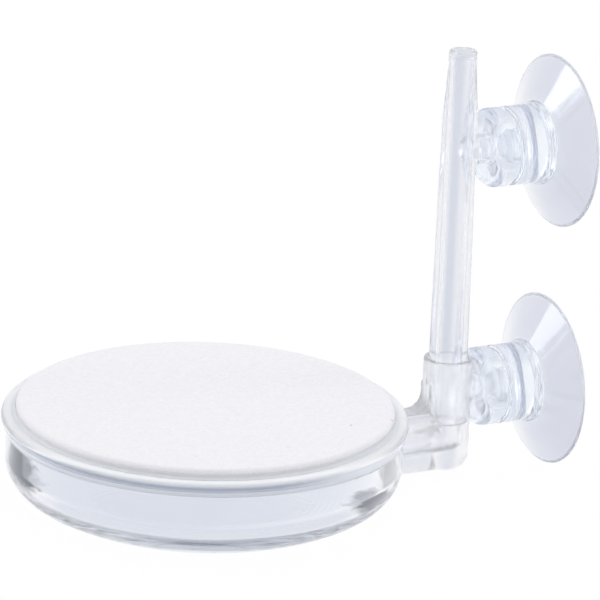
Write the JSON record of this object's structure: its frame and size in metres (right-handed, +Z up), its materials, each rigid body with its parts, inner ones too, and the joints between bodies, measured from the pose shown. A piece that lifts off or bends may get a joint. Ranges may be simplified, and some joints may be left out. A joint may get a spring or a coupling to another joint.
{
  "type": "carbon dioxide diffuser",
  "caption": "Clear round dish closed by a porous ceramic disc, fed by a side arm and a swivelling riser with a hose nipple, held to aquarium glass by suction cups.",
  "frame": {"origin": "centre of the dish's flat foot", "axes": "+Z up through the ceramic disc, +X from the dish along the arm to the riser and the tank's glass"},
  "size_m": [0.0933, 0.0644, 0.0712],
  "materials": {
    "clear_acrylic": "clear moulded acrylic, polished",
    "hazy_acrylic": "clear moulded acrylic, slightly hazy",
    "ceramic": "fine sintered, matte and porous",
    "sealant": "clear silicone, smooth",
    "cup_vinyl": "soft clear vinyl, glossy, faint blue"
  },
  "bodies": {
    "dish_body": {"dish": "clear_acrylic", "ceramic_disc": "ceramic", "disc_seal": "sealant", "arm": "hazy_acrylic"},
    "riser_body": {"riser": "hazy_acrylic"},
    "upper_cup_body": {"upper_cup": "cup_vinyl"},
    "lower_cup_body": {"lower_cup": "cup_vinyl"}
  },
  "joints": [
    {"name": "riser_swivel", "type": "hinge", "parent": "dish_body", "child": "riser_body", "pos_m": [0.0432, 0, 0.0144], "axis": [0, 0, 1], "continuous": true},
    {"name": "upper_cup_spin", "type": "hinge", "parent": "riser_body", "child": "upper_cup_body", "pos_m": [0.0488, 0, 0.0545], "axis": [1, 0, 0], "continuous": true},
    {"name": "lower_cup_spin", "type": "hinge", "parent": "dish_body", "child": "lower_cup_body", "pos_m": [0.0488, 0, 0.014], "axis": [1, 0, 0], "continuous": true}
  ]
}
